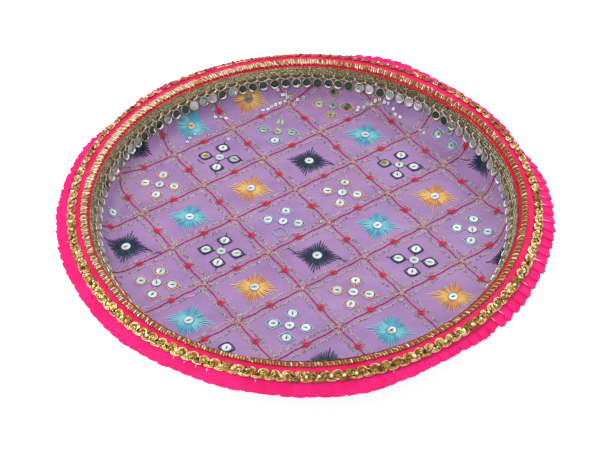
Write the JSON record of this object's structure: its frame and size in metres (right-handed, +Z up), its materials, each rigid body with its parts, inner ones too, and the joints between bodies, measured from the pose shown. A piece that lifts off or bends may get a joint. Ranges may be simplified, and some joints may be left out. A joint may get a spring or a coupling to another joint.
{
  "type": "cloth-lined round platter",
  "caption": "Round pressed-steel platter with a raised wall and crowned rim, lined with embroidered mirror-work cloth and edged with gold laces and a short pleated frill.",
  "frame": {"origin": "centre of the flat underside that the platter stands on", "axes": "+Z up, out of the tray; the picture was taken looking along +Y"},
  "size_m": [0.355, 0.355, 0.0342],
  "materials": {
    "tray_steel": "tinned, lightly scratched",
    "hardboard": "raw hardboard",
    "lilac_cloth": "fine satin-backed weave",
    "pink_ribbon": "matt woven ribbon",
    "gold_thread": "metallic gold thread",
    "bead_gold": "bright gold-coloured metallic cord and beads",
    "pink_frill": "pleated synthetic cloth with cut edge",
    "mirror": "small round mirrors in metallic rings",
    "red_thread": "matt embroidery thread",
    "turquoise_thread": "satin-stitched silk thread",
    "navy_thread": "satin-stitched silk thread",
    "orange_thread": "satin-stitched silk thread",
    "sky_thread": "satin-stitched silk thread"
  },
  "bodies": {
    "root": {"embroidered_cloth": "lilac_cloth", "floor_board": "hardboard", "inner_gold_braid": "gold_thread", "mirror_lace": "mirror", "navy_mirrors_1": "navy_thread", "navy_mirrors_2": "navy_thread", "navy_mirrors_3": "navy_thread", "navy_mirrors_4": "navy_thread", "navy_star_1": "navy_thread", "navy_star_2": "navy_thread", "navy_star_3": "navy_thread", "navy_star_4": "navy_thread", "orange_mirrors_1": "orange_thread", "orange_mirrors_2": "orange_thread", "orange_mirrors_3": "orange_thread", "orange_mirrors_4": "orange_thread", "orange_star_1": "orange_thread", "orange_star_2": "orange_thread", "orange_star_3": "orange_thread", "orange_star_4": "orange_thread", "outer_bead_lace": "bead_gold", "pink_frill": "pink_frill", "red_lattice_stitching": "red_thread", "rim_ribbon": "pink_ribbon", "sky_mirrors_1": "sky_thread", "sky_mirrors_2": "sky_thread", "sky_mirrors_3": "sky_thread", "sky_mirrors_4": "sky_thread", "tray_shell": "tray_steel", "turquoise_star_1": "turquoise_thread", "turquoise_star_2": "turquoise_thread", "turquoise_star_3": "turquoise_thread", "turquoise_star_4": "turquoise_thread", "turquoise_star_5": "turquoise_thread"}
  },
  "joints": []
}
